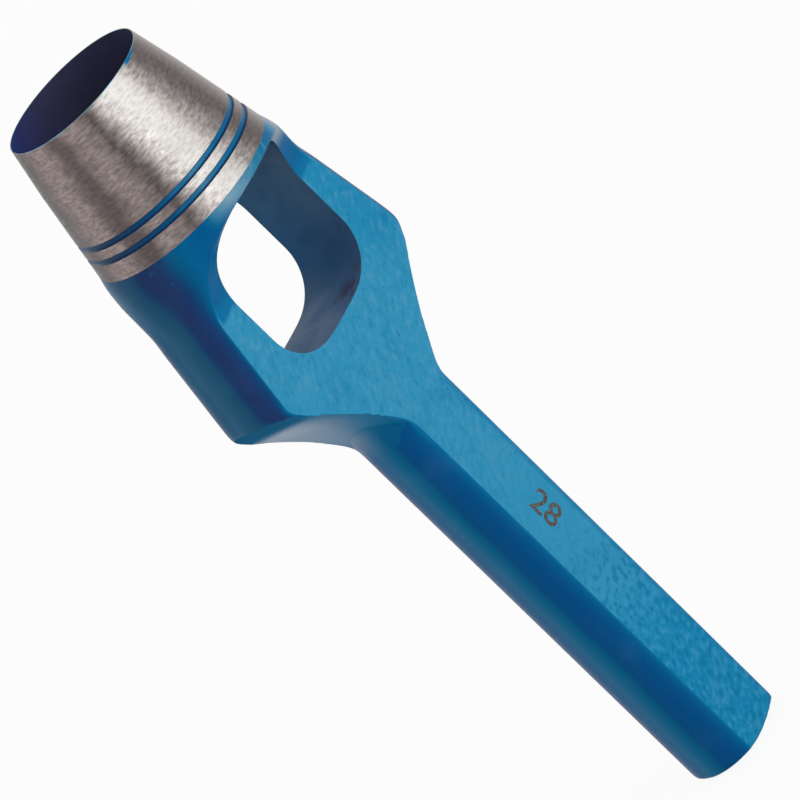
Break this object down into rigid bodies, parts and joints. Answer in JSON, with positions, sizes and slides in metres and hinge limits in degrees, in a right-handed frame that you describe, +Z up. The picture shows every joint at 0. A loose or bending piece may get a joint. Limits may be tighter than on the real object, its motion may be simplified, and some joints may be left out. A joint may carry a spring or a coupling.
{
  "type": "hollow punch",
  "caption": "Hand punch for round holes: a ground conical cutting crown, an open arch behind it that lets the cut slugs out, and a flat-sided lacquered shank.",
  "frame": {"origin": "centre of the struck face, on the tool's axis", "axes": "+Z up the axis from the struck face to the cutting edge, -Y out of the front flat, X across the width of the flats and the arch"},
  "size_m": [0.0538, 0.0372, 0.1595],
  "materials": {
    "ground_steel": "finely ground round the cone",
    "blue_lacquer": "glossy blue lacquer"
  },
  "bodies": {
    "root": {"cutting_crown": "ground_steel", "arch": "blue_lacquer", "shank": "blue_lacquer"}
  },
  "joints": []
}
